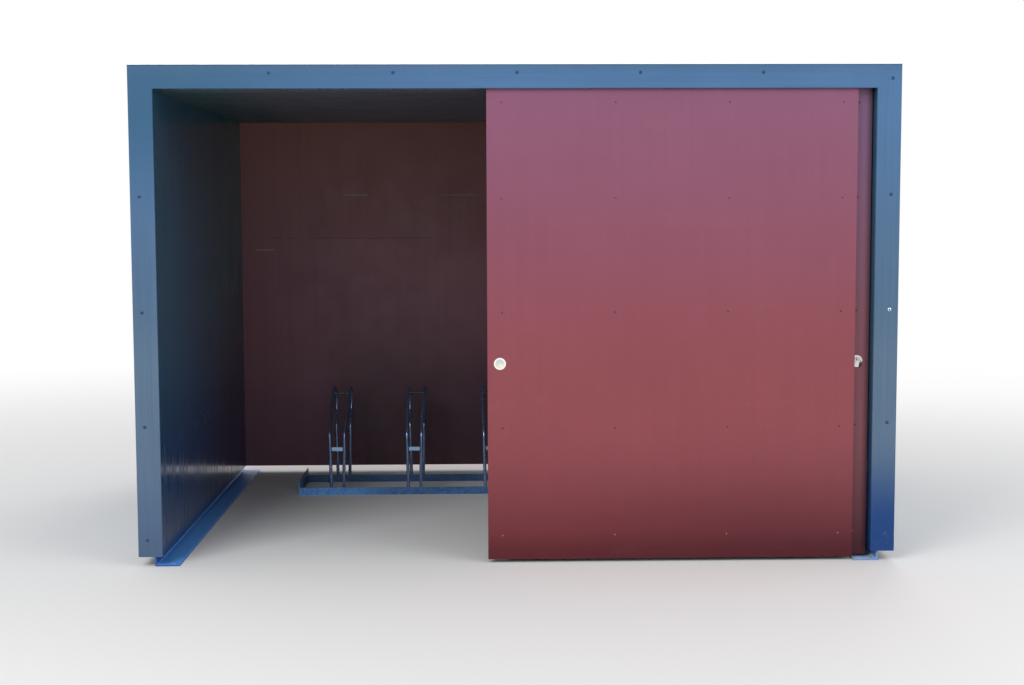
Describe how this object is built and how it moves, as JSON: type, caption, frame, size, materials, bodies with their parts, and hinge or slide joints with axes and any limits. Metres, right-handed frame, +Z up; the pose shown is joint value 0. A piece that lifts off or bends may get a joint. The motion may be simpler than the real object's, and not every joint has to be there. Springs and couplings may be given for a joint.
{
  "type": "bike shelter",
  "caption": "Flat-roofed box shelter, open at the front and closed by sliding doors on top tracks, with a rack of bent hoops for bicycles inside.",
  "frame": {"origin": "centre of the footprint, on the ground", "axes": "+X to the right seen from the front, +Y to the rear, +Z up; the open front faces -Y"},
  "size_m": [3.308, 2.508, 2.166],
  "materials": {
    "anthracite_board": "satin",
    "red_board": "gloss",
    "galvanised": "galvanised",
    "roof_metal": "satin",
    "stainless": "brushed"
  },
  "bodies": {
    "shelter": {"left_foot_rail": "galvanised", "right_foot_rail": "galvanised", "left_wall_frame": "galvanised", "right_wall_frame": "galvanised", "left_inner_panel": "anthracite_board", "right_inner_panel": "anthracite_board", "left_outer_panel": "anthracite_board", "right_outer_panel": "anthracite_board", "back_wall_frame": "galvanised", "back_inner_panel": "red_board", "back_outer_panel": "red_board", "roof_frame": "galvanised", "ceiling_panel": "anthracite_board", "roof_sheet": "roof_metal", "track_beam": "galvanised", "front_left_strip": "anthracite_board", "front_right_strip": "anthracite_board", "front_top_strip": "anthracite_board", "rear_left_strip": "anthracite_board", "rear_right_strip": "anthracite_board", "rear_top_strip": "anthracite_board", "outer_track": "galvanised", "inner_track": "galvanised", "rack_front_rail": "galvanised", "rack_rear_rail": "galvanised", "rack_left_end": "galvanised", "rack_right_end": "galvanised", "rack_hoop_1": "galvanised", "rack_hoop_2": "galvanised", "rack_hoop_3": "galvanised", "rack_hoop_4": "galvanised", "rack_hoop_5": "galvanised", "rack_hoop_6": "galvanised"},
    "outer_door": {"outer_door_sheet": "red_board", "outer_door_frame": "galvanised", "outer_door_trolleys": "stainless", "outer_door_pull": "stainless"},
    "inner_door": {"inner_door_sheet": "red_board", "inner_door_frame": "galvanised", "inner_door_trolleys": "stainless", "inner_door_lock": "stainless"}
  },
  "joints": [
    {"name": "outer_door_slide", "type": "slide", "parent": "shelter", "child": "outer_door", "axis": [-1, 0, 0], "range_m": [0, 1.41]},
    {"name": "inner_door_slide", "type": "slide", "parent": "shelter", "child": "inner_door", "axis": [-1, 0, 0], "range_m": [0, 1.482]}
  ]
}
